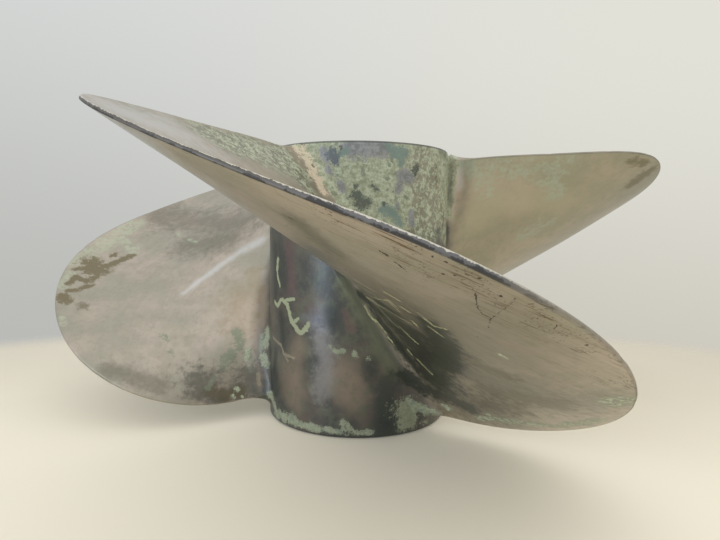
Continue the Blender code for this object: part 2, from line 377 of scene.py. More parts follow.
def casting_grids():
    """The grids of the casting's skin, three thirds of the barrel with a blade each and the bore, and the
    values that its finish needs at each point. Off the blades, a point counts as far inside an outline."""
    along = blade_rows_along()
    off_blade = {"on_blade": 0.0, "inside": camber_reach, "lift": 0.0}
    values = {"blade_place": [], "on_blade": [], "inside": [], "lift": []}
    grids = []
    for index in range(blade_count):
        dice = np.random.default_rng(seed + index)
        blade, radius, arc, inside, lift = blade_skin(along, dice)
        blade[0, :, 0] = hub_radius
        barrel, rim_start = barrel_skin(blade[0])
        skin = np.concatenate([barrel, blade])
        skin[..., 1] += index * third
        grids.append((upright(skin), True))
        place = np.stack([radius, arc, np.full(radius.shape, float(index))], -1)
        values["blade_place"] += [np.tile(place[0], (barrel_rows, 1)), place.reshape(-1, 3)]
        on_blade = smooth_step(hub_radius, hub_radius + fillet_reach, radius)
        for name, value in (("on_blade", on_blade), ("inside", inside), ("lift", lift)):
            values[name] += [np.full(barrel[..., 0].size, off_blade[name]), value.ravel()]
    angles = rim_start + np.arange(blade_count * rim_columns) * third / rim_columns
    rim = quarter_round(hub_radius, aft_face, -1, -1, rim_round, rim_rows)[::-1]
    bore_radius = hub_radius - barrel_wall
    chamfer = quarter_round(bore_radius, aft_face, 1, -1, bore_chamfer, 1)
    depth = np.linspace(chamfer[-1, 1], 0, bore_rows)[1:]
    bore = np.stack([np.full(depth.size, bore_radius), depth], -1)
    half = np.vstack([rim, chamfer, bore])
    profile = np.vstack([half, (half * (1, -1))[-2::-1]])
    grids.append((upright(turned_skin(profile, angles)), True))
    bore_points = len(profile) * angles.size
    values["blade_place"].append(np.zeros((bore_points, 3)))
    for name, value in off_blade.items():
        values[name].append(np.full(bore_points, value))
    return grids, {name: np.concatenate(parts) for name, parts in values.items()}


casting = closed_piece("casting", *casting_grids())
casting.data.set_sharp_from_angle(angle=math.radians(50))


class Field:
    """One socket among a material's nodes. Sums and products of such sockets add their Math nodes."""

    def __init__(self, tree, socket=None):
        self.tree = tree
        self.socket = socket

    def node(self, kind, settings=(), inputs=(), output=0):
        """Adds a node of a kind: first its settings, such as an operation, then its sockets' values."""
        made = self.tree.nodes.new(kind)
        for name, value in dict(settings).items():
            setattr(made, name, value)
        for name, value in dict(inputs).items():
            if isinstance(value, Field):
                self.tree.links.new(value.socket, made.inputs[name])
            else:
                made.inputs[name].default_value = value
        return Field(self.tree, made.outputs[output])

    def maths(self, operation, *others):
        """A Math node on this value and the others."""
        return self.node("ShaderNodeMath", {"operation": operation}, dict(enumerate((self, *others))))

    def __add__(self, other):
        return self.maths("ADD", other)

    def __sub__(self, other):
        return self.maths("SUBTRACT", other)

    def __rsub__(self, other):
        return self.maths("MULTIPLY_ADD", -1, other)

    def __mul__(self, other):
        return self.maths("MULTIPLY", other)

    __radd__ = __add__
    __rmul__ = __mul__

    def larger(self, other):
        return self.maths("MAXIMUM", other)

    def smaller(self, other):
        return self.maths("MINIMUM", other)

    def step(self, low, high):
        """From 0 at low to 1 at high, smoothly."""
        limits = {"Value": self, "From Min": low, "From Max": high}
        return self.node("ShaderNodeMapRange", {"interpolation_type": "SMOOTHSTEP"}, limits)

    def between(self, first, second):
        """A colour, from the first where this is 0 to the second where it is 1."""
        return self.node("ShaderNodeMix", {"data_type": "RGBA"}, {0: self, 6: first, 7: second}, 2)

    def under(self, layers):
        """This colour under layers of a cover and a tint each, a field or as read off a screen."""
        result = self
        for cover, tint in layers:
            result = cover.between(result, tint if isinstance(tint, Field) else colour(*tint))
        return result

    def part(self, axis):
        """One of this vector's three numbers."""
        return self.node("ShaderNodeSeparateXYZ", (), {0: self}, axis)

    def vector(self, operation, other, output=0):
        """Vector maths on this vector and another one."""
        return self.node("ShaderNodeVectorMath", {"operation": operation}, {0: self, 1: other}, output)

    def nearness(self, path, half_width):
        """1 on a path of straight stretches or at a single point, 0 at the half width and less beyond."""
        if len(path) == 1:
            return 1 - self.vector("DISTANCE", path[0], 1) * (1 / half_width)
        field = None
        for start, end in zip(path, path[1:]):
            stretch = end - start
            beyond = self.vector("SUBTRACT", start)
            share = beyond.vector("DOT_PRODUCT", stretch / (stretch @ stretch), 1).smaller(1).larger(0)
            nearest = self.node("ShaderNodeVectorMath", {"operation": "SCALE"}, {0: stretch, 3: share})
            near = 1 - beyond.vector("DISTANCE", nearest, 1) * (1 / half_width)
            field = near if field is None else field.larger(near)
        return field

    def noise(self, scale, detail=4.0, roughness=0.55, output=0):
        """Cloudy noise at this vector's place, about 0.5 on average: a number, or three as output 1."""
        inputs = {"Vector": self, "Scale": scale, "Detail": detail, "Roughness": roughness}
        return self.node("ShaderNodeTexNoise", {}, inputs, output)


def new_finish(name):
    """A material, its Principled shader, and the place on its object as a field."""
    material = bpy.data.materials.new(name)
    material.use_nodes = True
    here = Field(material.node_tree).node("ShaderNodeTexCoord", output=3)
    return material, material.node_tree.nodes["Principled BSDF"], here


def feed(shader, name, field):
    """Links a field to a socket of a shader."""
    field.tree.links.new(field.socket, shader.inputs[name])


def colour(red, green, blue):
    """A colour as it is read off a screen, 0 to 255, in linear light with full cover."""
    screen = np.array([red, green, blue]) / 255
    linear = np.where(screen < 0.04045, screen / 12.92, ((screen + 0.055) / 1.055) ** 2.4)
    return (*linear.tolist(), 1.0)


# Marks in the casting's colour, as the photograph shows them: half a width in millimetres, then the pixels
# (x and y in turn) of a path. Each is a patch of its kind, and patches also stand on the thirds that the
# photograph hides, apart from the pale ones, which are painted highlights and reflections. Most kinds are
# the casting's own paint, stains and wear; those that are painted light or shade say so.
millimetres = 1000
facing_limit = 0.2
far_outside = -3.0
patches = {
    "paint": [
        (2.4, 272, 396, 275, 408), (2.4, 276, 412, 292, 419), (1.8, 298, 423, 326, 430),
        (1.3, 330, 431, 372, 433), (1.4, 343, 422, 351, 430), (5.6, 405, 408, 409, 420),
        (3.2, 414, 405, 428, 411), (1.8, 425, 422, 442, 411), (1.8, 445, 406, 449, 409),
        (0.9, 329, 346, 337, 352, 344, 351), (1.0, 353, 352, 357, 357), (0.9, 367, 359, 370, 358),
        (1.7, 268, 330, 266, 346), (1.9, 263, 355, 266, 364), (1.1, 248, 348, 247, 360),
        (1.1, 236, 388, 238, 391), (0.9, 232, 396, 234, 398), (0.8, 241, 396, 242, 397), (0.7, 227, 394),
        (1.6, 488, 414, 492, 416), (1.3, 498, 354, 503, 357),
    ],
    "worn": [
        (4.0, 350, 147, 366, 148, 384, 147), (2.9, 401, 177, 409, 178), (2.0, 400, 187, 398, 190),
        (1.9, 324, 150, 326, 158), (1.4, 328, 168, 331, 174), (1.7, 340, 184, 343, 190),
        (1.6, 411, 213, 412, 224), (1.2, 397, 205, 399, 211),
    ],
    "blue": [(2.3, 332, 153, 335, 161)],
    "teal": [
        (2.1, 388, 145, 394, 153), (2.4, 398, 153, 405, 153), (1.5, 401, 158, 401, 164),
        (1.6, 341, 154, 346, 151), (2.9, 384, 210, 394, 214), (2.1, 396, 217, 400, 224),
    ],
    "green": [
        (2.8, 356, 196, 358, 198), (2.5, 362, 204, 367, 202), (1.3, 372, 187, 377, 189),
        (1.1, 356, 185, 358, 186), (1.5, 417, 166, 414, 173), (0.8, 340, 147, 341, 148),
        (0.9, 384, 203, 385, 206), (0.8, 392, 190, 394, 191),
    ],
    "olive": [
        (6.5, 92, 264, 97, 270), (2.6, 104, 267, 120, 261, 131, 256), (2.6, 97, 276, 92, 279),
        (1.8, 68, 284, 76, 277, 86, 281), (1.8, 69, 291, 80, 289, 92, 285), (3.4, 61, 297, 66, 300),
        (1.8, 75, 269, 86, 268), (1.8, 112, 256, 116, 254),
    ],
    "sand": [(2.6, 300, 150, 305, 158, 312, 168, 318, 180, 322, 190)],
    "dark": [(11, 205, 388, 235, 392, 262, 386), (8, 246, 372, 266, 372), (5, 190, 396, 215, 399)],
    # Brown patina on the hub's lower half; on the left blade's fillet, partly a painted warm reflection.
    "brown": [
        (9, 292, 392, 290, 372), (8, 345, 375, 352, 396), (6, 294, 354, 300, 346),
        (3.5, 263, 290, 263, 322), (3, 265, 345, 265, 385),
    ],
    # Painted highlight: the upper, bluish part of the window's highlight down the hub.
    "lilac_highlight": [(5.5, 316, 252, 316, 322)],
    # Painted highlights and reflections: a streak down the left blade, sheens near the front blade's tip and
    # a line on the right blade's fillet.
    "pale": [
        (3.5, 262, 240, 243, 250), (2.6, 243, 250, 228, 260), (2.2, 243, 250, 222, 264, 200, 280, 184, 293),
        (11, 128, 132, 165, 156, 205, 182), (18, 118, 110, 150, 122, 172, 130), (2.4, 459, 188, 459, 170),
    ],
    # Painted reflection: a dark olive band along the front blade's underside, near its root.
    "olive_reflection": [
        (5.5, 346, 284, 366, 318, 382, 350, 392, 370), (4.5, 378, 308, 392, 334, 404, 356),
        (3.5, 366, 303, 380, 324, 398, 350),
    ],
    "speckle": [
        (12, 424, 166, 428, 200, 426, 232), (6, 441, 212, 445, 238), (8, 283, 152, 292, 166, 304, 184),
        (13, 215, 137, 250, 149, 290, 166), (5, 606, 404, 626, 400), (3, 480, 418, 560, 426, 600, 420),
    ],
    # Painted reflection: reddish tints on the hub's bare lower half.
    "red": [(3.5, 289, 245, 292, 290), (2, 345, 312, 352, 330)],
    # Painted highlight: the lower, greyer part of the window's highlight down the hub.
    "lower_highlight": [(5, 320, 335, 327, 360, 321, 392)],
    "shade": [
        (14, 406, 326, 420, 352, 434, 376), (9, 384, 306, 398, 330), (9, 440, 340, 444, 366),
        (6, 408, 378, 424, 388, 440, 396), (5, 448, 398, 460, 403, 471, 409), (4, 362, 296, 380, 312),
        (6, 430, 324, 446, 342, 450, 360), (4.6, 376, 314, 394, 338, 416, 368),
    ],
    # Partly a dull film on the left blade, partly painted shade and dark reflection on the front blade's
    # underside.
    "film_and_shade": [
        (14, 160, 214, 205, 222, 245, 222), (10, 190, 245, 230, 240), (5, 110, 370, 160, 385),
        (18, 478, 378, 530, 396, 560, 402), (10, 580, 405, 612, 400), (4, 296, 222, 335, 252),
    ],
    "sea": [
        (8, 470, 162, 510, 166, 560, 166), (6, 548, 176, 556, 192), (6, 522, 236, 545, 224),
        (6, 480, 160, 484, 190),
    ],
    "scratched": [
        (2.4, 378, 234, 392, 240, 402, 244), (1.5, 350, 228, 362, 234), (2.4, 536, 310, 552, 317),
    ],
    "sage": [
        (6, 136, 222, 112, 238, 92, 251, 78, 264), (3, 124, 240, 133, 254, 137, 246), (3, 70, 274, 63, 286),
        (1.5, 72, 298), (1.6, 178, 231, 180, 236), (1.6, 190, 239, 197, 242), (1.6, 62, 318, 63, 324),
    ],
    # Dark stains, and on the front blade's underside beside the hub, painted shade.
    "mould": [
        (5, 648, 172, 632, 184), (3.5, 632, 162, 644, 163), (3, 82, 305, 84, 307), (5, 214, 392, 240, 396),
        (7, 478, 364, 500, 374), (8, 492, 392, 560, 404), (7, 484, 402, 500, 406, 518, 410),
    ],
    "pitted": [
        (6, 338, 214, 362, 226, 404, 246), (8, 440, 268, 480, 284, 536, 312),
        (6, 556, 326, 596, 356, 622, 384),
    ],
    # Painted shade: dark bands on the hub's lower half, under the front blade and in the left blade's
    # fillet.
    "deep_shade": [
        (6, 386, 384, 387, 404, 386, 422), (2.4, 275, 246, 275, 300), (2, 276, 350, 274, 372),
        (4, 372, 366, 372, 376), (3.5, 331, 314, 333, 322), (2.4, 281, 314, 283, 342),
        (2.2, 265, 352, 265, 372, 266, 390),
    ],
    # Painted shade in the crease where the right blade's fillet meets the hub, and in the notch at its rim.
    "crease_shade": [(2.2, 450, 204, 450, 186, 451, 164), (2, 440, 151, 446, 155)],
    "verdigris": [
        (2.1, 236, 332, 241, 343, 238, 348), (2.2, 230, 355, 224, 364), (1.5, 247, 350, 251, 360),
        (1.4, 262, 336, 260, 350), (1.3, 214, 378, 208, 388), (1.2, 248, 366, 252, 370),
        (1.4, 163, 335, 167, 340), (1, 170, 349, 174, 355),
    ],
    "tan": [(12, 480, 218, 500, 202, 530, 200, 562, 203), (3, 452, 214, 453, 238), (4, 458, 222, 456, 236)],
    "warm": [(12, 240, 298, 248, 325), (6, 254, 275, 256, 300)],
    # Painted shade on the front blade's underside beside the hub.
    "root_shade": [(16, 452, 398, 466, 404, 480, 408, 490, 407)],
}

# Thin strokes: half a width in millimetres, then the pixels of a path, as above.
paint_strokes = [
    (1.2, 278, 259, 277, 270), (0.9, 277, 270, 278, 278, 280, 286), (1.1, 275, 302, 278, 306, 281, 300),
    (1.2, 283, 300, 287, 304, 289, 312, 292, 322, 297, 329), (1.3, 297, 330, 301, 333, 306, 329, 308, 324),
    (0.9, 286, 300, 294, 299), (0.9, 293, 323, 298, 319),
]
scratches = [
    (0.4, 318, 256, 344, 273), (0.7, 342, 272, 362, 284, 372, 290), (0.4, 352, 281, 370, 293),
    (0.5, 384, 292, 400, 301), (0.5, 370, 296, 388, 300, 398, 308), (0.8, 401, 307, 409, 312),
    (0.5, 388, 301, 400, 312), (0.7, 366, 297, 386, 309, 404, 320, 411, 324), (0.5, 395, 317, 407, 325),
    (0.8, 412, 321, 418, 327), (0.8, 425, 319, 434, 326, 445, 329), (0.8, 428, 326, 436, 332, 443, 337),
    (0.4, 418, 313, 426, 319), (0.9, 365, 307, 370, 316, 375, 321), (0.7, 384, 313, 392, 322, 399, 328),
    (1.1, 400, 327, 410, 337, 417, 343), (0.7, 376, 320, 386, 333), (0.7, 388, 337, 392, 342),
    (0.9, 408, 350, 411, 354), (0.9, 418, 360, 432, 374), (0.5, 376, 303, 392, 315),
]
pink_strokes = [
    (1.1, 258, 374, 259, 384), (0.7, 273, 337, 281, 345, 284, 354, 294, 358), (0.6, 284, 354, 288, 361),
]
dark_strokes = [
    (0.2, 475, 293, 477, 305, 482, 314, 491, 318, 488, 328), (0.16, 491, 318, 505, 308, 515, 299),
    (0.2, 553, 330, 557, 325), (0.35, 427, 248), (0.35, 433, 257), (0.4, 446, 262), (0.45, 443, 274),
    (0.35, 455, 275), (0.35, 466, 274), (0.4, 480, 278), (0.5, 587, 345), (0.4, 500, 296),
    (0.25, 380, 251, 388, 256), (0.25, 395, 262, 408, 272), (0.5, 312, 165, 314, 167),
    (0.25, 289, 217, 293, 219), (0.3, 127, 121), (0.3, 139, 127), (0.4, 183, 146), (0.35, 209, 156),
    (0.4, 220, 160), (0.3, 230, 164), (0.4, 239, 168), (0.35, 354, 210), (0.4, 375, 219), (0.4, 391, 226),
    (0.4, 420, 240), (0.4, 451, 253), (0.3, 457, 256),
]


def seen_at(pixels):
    """Where the eye sees pixels on the casting, and the way the casting faces at the first of them."""
    hits = [casting.ray_cast(eye, line_of_sight(x, y)) for x, y in zip(pixels[::2], pixels[1::2])]
    return np.array([point for _, point, _, _ in hits]), np.array(hits[0][2])


def patch_field(marks, blades):
    """For each vertex, 1 amid the nearest mark, 0 at its rim and less beyond, on the side that it faces.
    With more than one blade, they are repeated by whole thirds where the eye doesn't see the casting."""
    field = np.full(len(vertex_places), far_outside)
    for half_width, *pixels in marks:
        path, facing = seen_at(pixels)
        for index in range(blades):
            turn = np.array(Matrix.Rotation(index * third, 3, "Z"))
            near = 1 - distance_to_path(vertex_places, path @ turn.T) * millimetres / half_width
            allowed = vertex_normals @ (turn @ facing) > facing_limit
            field = np.where(allowed & (hidden | (index == 0)), np.maximum(field, near), field)
    return field


bpy.context.view_layer.update()
vertex_places = np.array([vertex.co for vertex in casting.data.vertices])
vertex_normals = np.array([vertex.normal for vertex in casting.data.vertices])
hidden = ((vertex_places - np.array(eye)) * vertex_normals).sum(1) > 0
for kind, marks in patches.items():
    patch = patch_field(marks, 1 if kind == "pale" else blade_count)
    casting.data.attributes.new(kind, "FLOAT", "POINT").data.foreach_set("value", patch)

alloy, alloy_shader, here = new_finish("worn_cast_alloy")


def kept(name):
    """An attribute of the mesh as a field."""
    return here.node("ShaderNodeAttribute", {"attribute_name": name}, output=2)


shake = here.noise(500, 3, 0.7, 1).vector("SUBTRACT", (0.5, 0.5, 0.5))
shaken = here.vector("ADD", shake.vector("MULTIPLY", (0.002, 0.002, 0.002)))
place = here.node("ShaderNodeAttribute", {"attribute_name": "blade_place"}, output=1)
height = here.part(2)
on_blade = kept("on_blade")
inside = kept("inside")
lift = kept("lift")
clouds = here.noise(28, 4, 0.6)
blotches = here.noise(120, 5, 0.62)
crumbs = here.noise(330, 6, 0.7)
specks = here.noise(700, 3, 0.7)
grit = here.noise(1500, 2, 0.6)
index = place.part(2)
front = (index * -1).step(-0.6, -0.4)
right = 1 - (index - 1).maths("ABSOLUTE")
arc = place.part(1)
streaks = place.vector("MULTIPLY", (260, 22, 9)).noise(1, 4, 0.65)
hairlines = place.vector("MULTIPLY", (1500, 70, 9)).noise(1, 2, 0.6)


def ragged(name, wobble=3.2, softness=0.35):
    """A patch's cover, 0 or 1, with its rim moved and crumbled by the noises."""
    noises = (crumbs - 0.5) * wobble + (blotches - 0.5) * wobble * 0.5 + (grit - 0.5) * wobble * 0.6
    return (kept(name) + 0.1 + noises).step(-softness, softness)


def strokes(marks):
    """The cover of thin strokes, 0 or 1, placed as the eye sees them and made unsteady by the shake."""
    field = None
    for half_width, *pixels in marks:
        near = shaken.nearness(seen_at(pixels)[0], half_width / millimetres)
        field = near if field is None else field.larger(near)
    return (field + (specks - 0.5) * 1.2 + 0.15).step(-0.1, 0.4)


def soft(name, low, high, strength):
    """A patch's cover, from 0 to its strength, with a wide rim that the noises shift and crumble."""
    return (kept(name) + (blotches - 0.5) * 2 + (crumbs - 0.5) * 2).step(low, high) * strength


brushed = front * 0.75 + 0.25
alloy_colour = clouds.step(0.36, 0.64).between(colour(194, 182, 169), colour(171, 168, 153))
metal = alloy_colour.under([
    (blotches.step(0.42, 0.62) * (1 - front) * 0.4, (160, 157, 143)),
    (streaks.step(0.3, 0.7) * 0.28 * brushed, (134, 122, 94)),
    (right * on_blade * 0.3, (164, 164, 138)),
    # Painted warm reflection: the front blade, whose underside mirrors the cream table, is tinted tan.
    (front * (0.05 + clouds * 0.35), (142, 130, 100)),
    (crumbs.step(0.5, 0.8) * 0.35, (128, 122, 98)),
    (hairlines.step(0.45, 0.8) * 0.4 * on_blade * brushed, (120, 106, 78)),
])

# The hub's bare lower half has turned dark, with brown patches, and so have the blades' roots. Over the bare
# metal lie painted highlights, painted reflections and painted shade, each marked below.
high = (height + (clouds - 0.5) * 0.03).step(0.028, 0.036)
high_hub = high * (1 - on_blade.step(0, 0.6))
low_hub = (1 - high) * (1 - on_blade.step(0, 0.75))
darkened = kept("dark") + (blotches - 0.5) * 4 + (crumbs - 0.5) * 2.5
oxide = low_hub.larger(darkened.step(-0.5, 0.8) * 0.72)
upper_face = lift.step(0, 1) * on_blade
pits = (grit * 0.6 + specks * 0.4).step(0.56, 0.6).larger(hairlines.step(0.58, 0.62) * 0.8)
shade = soft("shade", -0.5, 0.5, 0.9)
bare = metal.under([
    (oxide, clouds.step(0.4, 0.62).between(colour(66, 69, 66), colour(92, 85, 78))),
    # Brown patina, partly a painted warm reflection on the left blade's fillet.
    ((kept("brown") + (clouds - 0.5) * 2).step(-0.7, 0.9) * 0.62, (136, 122, 106)),
    (oxide * (blotches * 0.5 + crumbs * 0.5).step(0.47, 0.6) * 0.5, (90, 98, 80)),
    # Painted reflection: reddish tints on the hub's bare lower half.
    (soft("red", -0.7, 0.9, 0.7), (98, 80, 78)),
    # Painted highlight of the window down the hub: bluish above, grey below.
    (soft("lilac_highlight", -0.8, 0.8, 0.5), (118, 124, 134)),
    (soft("lower_highlight", -0.8, 0.8, 0.5), (140, 136, 132)),
    # Painted reflection: a dark olive band along the front blade's underside, near its root.
    (soft("olive_reflection", -0.8, 0.9, 0.55), (106, 110, 86)),
    # Painted shade, almost black.
    (soft("deep_shade", -0.8, 0.8, 0.7), (44, 52, 50)),
    # Partly a dull film, partly painted shade and dark reflection on the front blade's underside.
    (soft("film_and_shade", -0.9, 0.9, 0.55), (98, 96, 80)),
    (upper_face * 0.15, (140, 134, 124)),
    # Painted highlights and reflections, on this third only.
    (soft("pale", -0.9, 1.1, 0.5), (218, 221, 222)),
    (soft("warm", -0.8, 0.9, 0.35), (160, 138, 104)),
    (soft("tan", -0.6, 0.8, 0.45), (198, 190, 168)),
    (soft("sea", -0.5, 0.6, 0.8) * (crumbs * 0.6 + blotches * 0.4).step(0.42, 0.6), (178, 190, 174)),
    # Dark stains, partly painted shade under the front blade.
    (soft("mould", -0.4, 0.6, 0.6), (104, 96, 70)),
    (soft("sage", -0.5, 0.5, 0.75) * crumbs.step(0.38, 0.6), (184, 192, 168)),
    (ragged("verdigris", 5) * (0.3 + specks * 0.9), (134, 144, 124)),
    (soft("pitted", -0.6, 0.8, 0.7) * pits * blotches.step(0.42, 0.56), (92, 76, 54)),
    (shade, (44, 50, 42)),
    # Painted shade on the front blade's underside beside the hub.
    (soft("root_shade", -0.9, 0.9, 0.5), (52, 54, 44)),
])

# Pale paint covers the hub's upper half, worn through in small bare spots, and thins out on the blades.
cover = (high_hub * 1.1 + blotches * 0.9 + crumbs * 0.9 - 1.72).step(-0.03, 0.03)
speckle = (kept("speckle") + (blotches - 0.5) * 2).step(-0.3, 0.5)
flecks = (grit * 0.15 + specks * 0.3 + crumbs * 0.55).step(0.465, 0.53)
cover = speckle * flecks + cover * (1 - speckle)
cover = cover.larger(ragged("paint"))
cover = cover * (1 - ragged("worn")) * (1 - ragged("olive"))
holes = here.noise(230, 4, 0.62).step(0.58, 0.62)
paint = (specks * 0.4 + crumbs * 0.6).step(0.4, 0.6).between(colour(138, 144, 116), colour(182, 189, 164))
# Painted shade: on the hub the paint darkens towards the bottom.
paint = ((height * -1).step(-0.03, 0.03) * 0.7 * (1 - on_blade)).between(paint, colour(116, 122, 100))
thin_paint = strokes(paint_strokes)
thin_lines = strokes(scratches) * (blotches * 1.7 - 0.15)
rims = height.maths("ABSOLUTE").step(aft_face - 0.0013, aft_face - 0.0009) * (1 - on_blade)
painted = bare.under([
    (speckle * 0.65, on_blade.between(colour(132, 134, 114), colour(114, 118, 100))),
    (ragged("olive"), (126, 118, 94)),
    (cover, paint),
    (cover * (crumbs * 0.7 + blotches * 0.3).step(0.565, 0.61) * 0.7, (118, 120, 96)),
    (cover * holes * (1 - on_blade) * 0.7, (108, 118, 104)),
    (ragged("worn") * 0.9, crumbs.step(0.4, 0.6).between(colour(112, 117, 118), colour(146, 149, 150))),
    (ragged("sand", 6.5) * (1.5 - specks * 1.4), (212, 197, 172)),
    (ragged("teal") * (1.3 - specks * 0.8), (114, 133, 124)),
    (ragged("green") * (1.4 - specks * 0.8), (90, 97, 86)),
    (ragged("blue") * (1.4 - specks * 0.8), (96, 104, 108)),
    # Painted shade in the crease where the right blade's fillet meets the hub, and in the notch at its rim.
    (soft("crease_shade", -0.8, 0.8, 0.55), (80, 80, 70)),
    (soft("scratched", -0.4, 0.6, 0.8) * hairlines.step(0.53, 0.6), (112, 92, 64)),
    (thin_paint, (144, 150, 120)),
    (thin_lines, specks.step(0.3, 0.6).between(colour(112, 114, 80), colour(176, 175, 130))),
    (strokes(pink_strokes) * 0.8, (146, 138, 116)),
    (strokes(dark_strokes) * 0.9, (52, 47, 40)),
    (rims * 0.75, (66, 68, 66)),
])

# The blunt edge has a painted highlight along its upper corner, strongest on the front blade, is dull in its
# middle and black along its lower corner.
edge = (1 - inside.step(-0.0004, 0.0001)) * on_blade.step(0.5, 1)
toward_lead = arc.step(-0.065, -0.03)
near_lead = arc.step(-0.005, 0.028)
bright_from = 0.62 - toward_lead * 0.36 + (crumbs - 0.5) * 1.4 + (grit - 0.5) * 1.2
edge_highlight = (lift - bright_from).step(-0.05, 0.05) * (front * 0.75 + 0.15) * (1 - near_lead * 0.8)
black = (lift * -1 + (crumbs - 0.5) * 3 + (blotches - 0.5) * 6).step(0.5, 0.9) * (1 - near_lead)
tone = painted.under([
    (edge * (front * 0.55 + 0.35) * (1 - near_lead * 0.75),
     toward_lead.between(colour(92, 90, 88), colour(104, 106, 110))),
    # Painted highlight along the edge's upper corner.
    (edge * edge_highlight, (214, 210, 196)),
    (edge * black * (front * 0.6 + 0.1), (50, 50, 50)),
])

covered = cover.larger(ragged("teal")).larger(ragged("sand"))
covered = covered.larger(thin_paint).larger(thin_lines).larger(ragged("worn") * 0.8)
feed(alloy_shader, "Base Color", tone)
feed(alloy_shader, "Metallic", (1 - covered) * (0.85 - oxide.larger(shade) * 0.45))
fillet = on_blade * (1 - on_blade) * 4
dull = (covered * 0.28).larger(fillet * 0.45).larger(edge * 0.2).larger(upper_face * 0.16)
feed(alloy_shader, "Roughness", dull + 0.3 + (crumbs - 0.5) * 0.12)
bump = here.node("ShaderNodeBump", (), {"Strength": 0.4, "Distance": 0.0003, "Height": crumbs})
feed(alloy_shader, "Normal", bump)
casting.data.materials.append(alloy)
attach(casting, "root")
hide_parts("propeller_casting")


# The boss and its webs
# Part of the same casting, inside the barrel: a plain tube that holds the bush, carried by three webs. The
# exhaust passes between them. Cast corners are filleted, and the webs stop short of the boss's ends.
boss_radius = 0.0305
bush_seat_radius = 0.0245
boss_low = -0.06
boss_high = 0.044
web_low = -0.054
web_high = 0.038
web_half_thickness = 0.0035
web_turn = math.radians(-90)
web_count = 3
web_round = 0.001
web_fillet = 0.003
web_foot = math.radians(12)
web_overlap = 0.0005
web_end_radius = hub_radius - barrel_wall + web_overlap
boss_round = 0.001
boss_round_steps = 3
boss_arc_columns = 10
web_fillet_columns = 6
web_round_steps = 4
web_rows = 8


def web_outline(half):
    """Half a web's outline with its share of the boss, as x along the web and y across it: the boss's
    circle, a fillet, the web's straight side and the fillet in the barrel, down to the web's middle. Each
    fillet is a curve of three points, weighed by (1-t)^2, 2(1-t)t and t^2."""
    circle = np.linspace(math.pi / web_count, web_foot, boss_arc_columns)
    turn = np.linspace(0, 1, web_fillet_columns)[1:, None]
    corner = np.array([math.sqrt(boss_radius**2 - half**2), half])
    foot = boss_radius * np.array([math.cos(web_foot), math.sin(web_foot)])
    inner = (1 - turn) ** 2 * foot + 2 * (1 - turn) * turn * corner + turn**2 * (corner + (web_fillet, 0))
    shoulder = np.array([web_end_radius - web_fillet, half])
    outer_corner = np.array([web_end_radius, half])
    outer = (1 - turn) ** 2 * shoulder + 2 * (1 - turn) * turn * outer_corner
    outer += turn**2 * (outer_corner + (0, web_fillet))
    arc = boss_radius * np.stack([np.cos(circle), np.sin(circle)], -1)
    return np.vstack([arc, inner, shoulder, outer, outer_corner, (web_end_radius, 0)])


def boss_ring(height, half=None, radius=boss_radius):
    """The boss's whole outline at one height: six half outlines, each second one mirrored. Without a web's
    half thickness, the same columns lie on a circle of the radius."""
    outline = web_outline(half or web_half_thickness)
    if half is None:
        angle = np.arctan2(outline[:, 1], outline[:, 0])
        angle[boss_arc_columns:] = np.linspace(web_foot, 0, len(outline) - boss_arc_columns + 1)[1:]
        outline = radius * np.stack([np.cos(angle), np.sin(angle)], -1)
    both = np.vstack([outline, (outline * (1, -1))[-2:0:-1]])
    ring = []
    for i in range(web_count):
        turn = web_turn + i * math.tau / web_count
        x = both[:, 0] * math.cos(turn) + both[:, 1] * math.sin(turn)
        y = both[:, 0] * math.sin(turn) - both[:, 1] * math.cos(turn)
        ring.append(np.stack([x, y, np.full(x.size, height)], -1))
    return np.vstack(ring)


def corner_rings(radius, height, inward, along, steps):
    """Plain rings round one corner of the boss, from its end face to its side."""
    corner = quarter_round(radius, height, inward, along, boss_round, steps)
    return [boss_ring(z, radius=r) for r, z in corner]


def web_end_rings(height, along):
    """A plain ring at a web's end, then the web's rings, wider by a quarter round up to its thickness."""
    corner = quarter_round(web_half_thickness, height, -1, along, web_round, web_round_steps)
    return [boss_ring(height)] + [boss_ring(z, half) for half, z in corner]


def boss_rows():
    """Rings from the middle of the seat round the lower end, up the outside with its webs, and back."""
    low = corner_rings(bush_seat_radius, boss_low, 1, 1, 1)[::-1]
    low += corner_rings(boss_radius, boss_low, -1, 1, boss_round_steps)
    high = corner_rings(boss_radius, boss_high, -1, -1, boss_round_steps)[::-1]
    high += corner_rings(bush_seat_radius, boss_high, 1, -1, 1)
    webs = [boss_ring(z, web_half_thickness) for z in np.linspace(web_low, web_high, web_rows)[1:-1]]
    rows = low + web_end_rings(web_low, 1) + webs + web_end_rings(web_high, -1)[::-1] + high
    return np.array(rows + rows[:1])


hub_boss = closed_piece("hub_boss", [(boss_rows(), True)])
hub_boss.data.set_sharp_from_angle(angle=math.radians(40))
hub_boss.data.materials.append(alloy)
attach(hub_boss, "root")
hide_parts("propeller_casting")


# The rubber bush
# A thick rubber ring, pressed into the boss: it takes the shocks between the shaft's sleeve and the
# casting. Its ends are slightly dished, and the rubber has gone grey and dusty.
bush_clearance = 0.0003
bush_outer_radius = bush_seat_radius - bush_clearance
bush_inner_radius = 0.0175
bush_low = -0.051
bush_high = 0.035
bush_round = 0.0008
bush_dish = 0.0006
bush_columns = 96
bush_round_steps = 4
bush_face_rows = 9
bush_side_rows = 10


